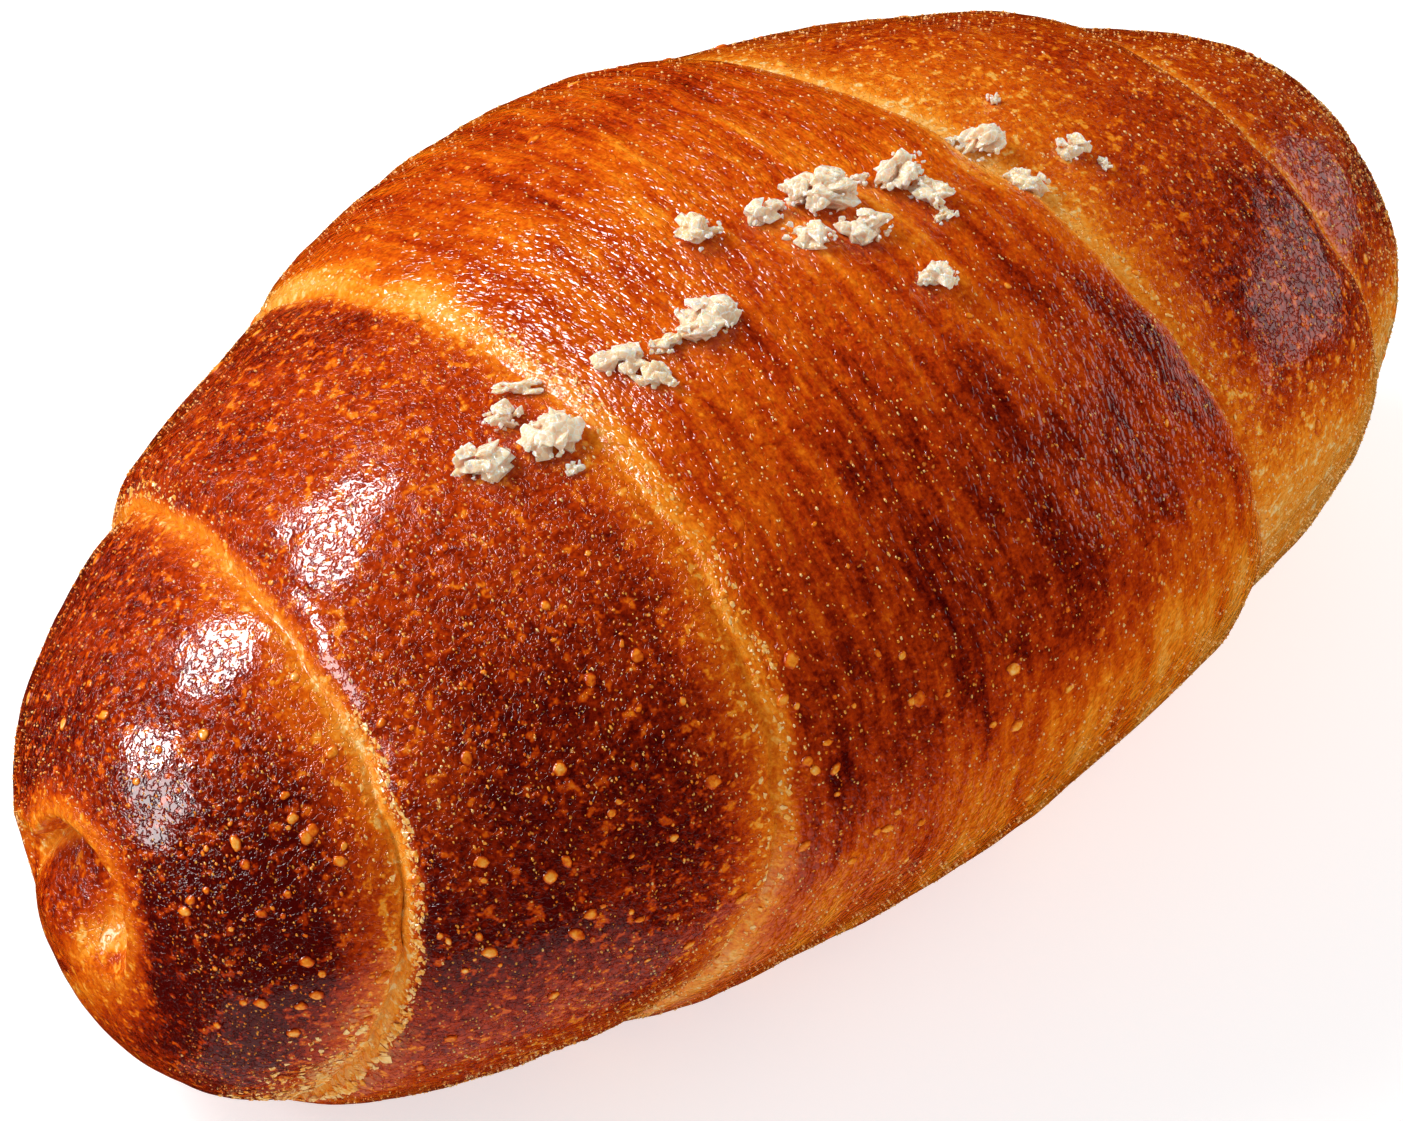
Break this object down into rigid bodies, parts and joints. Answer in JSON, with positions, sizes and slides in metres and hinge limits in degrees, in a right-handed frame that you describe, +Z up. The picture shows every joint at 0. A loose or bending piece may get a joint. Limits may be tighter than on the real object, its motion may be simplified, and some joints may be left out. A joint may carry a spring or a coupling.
{
  "type": "salt bread roll",
  "caption": "Plump rolled-up bread roll with spiral seams, a coiled end, a flat base and coarse salt on its ridge.",
  "frame": {"origin": "middle of the roll's box, on the surface that the flat base rests on", "axes": "+X along the roll towards its far end, +Y towards its back, +Z up through the salted ridge"},
  "size_m": [0.1249, 0.0718, 0.0614],
  "materials": {
    "crust": "glossy browned crust, paler in the seams and towards the base"
  },
  "bodies": {
    "root": {"roll": "crust"}
  },
  "joints": []
}
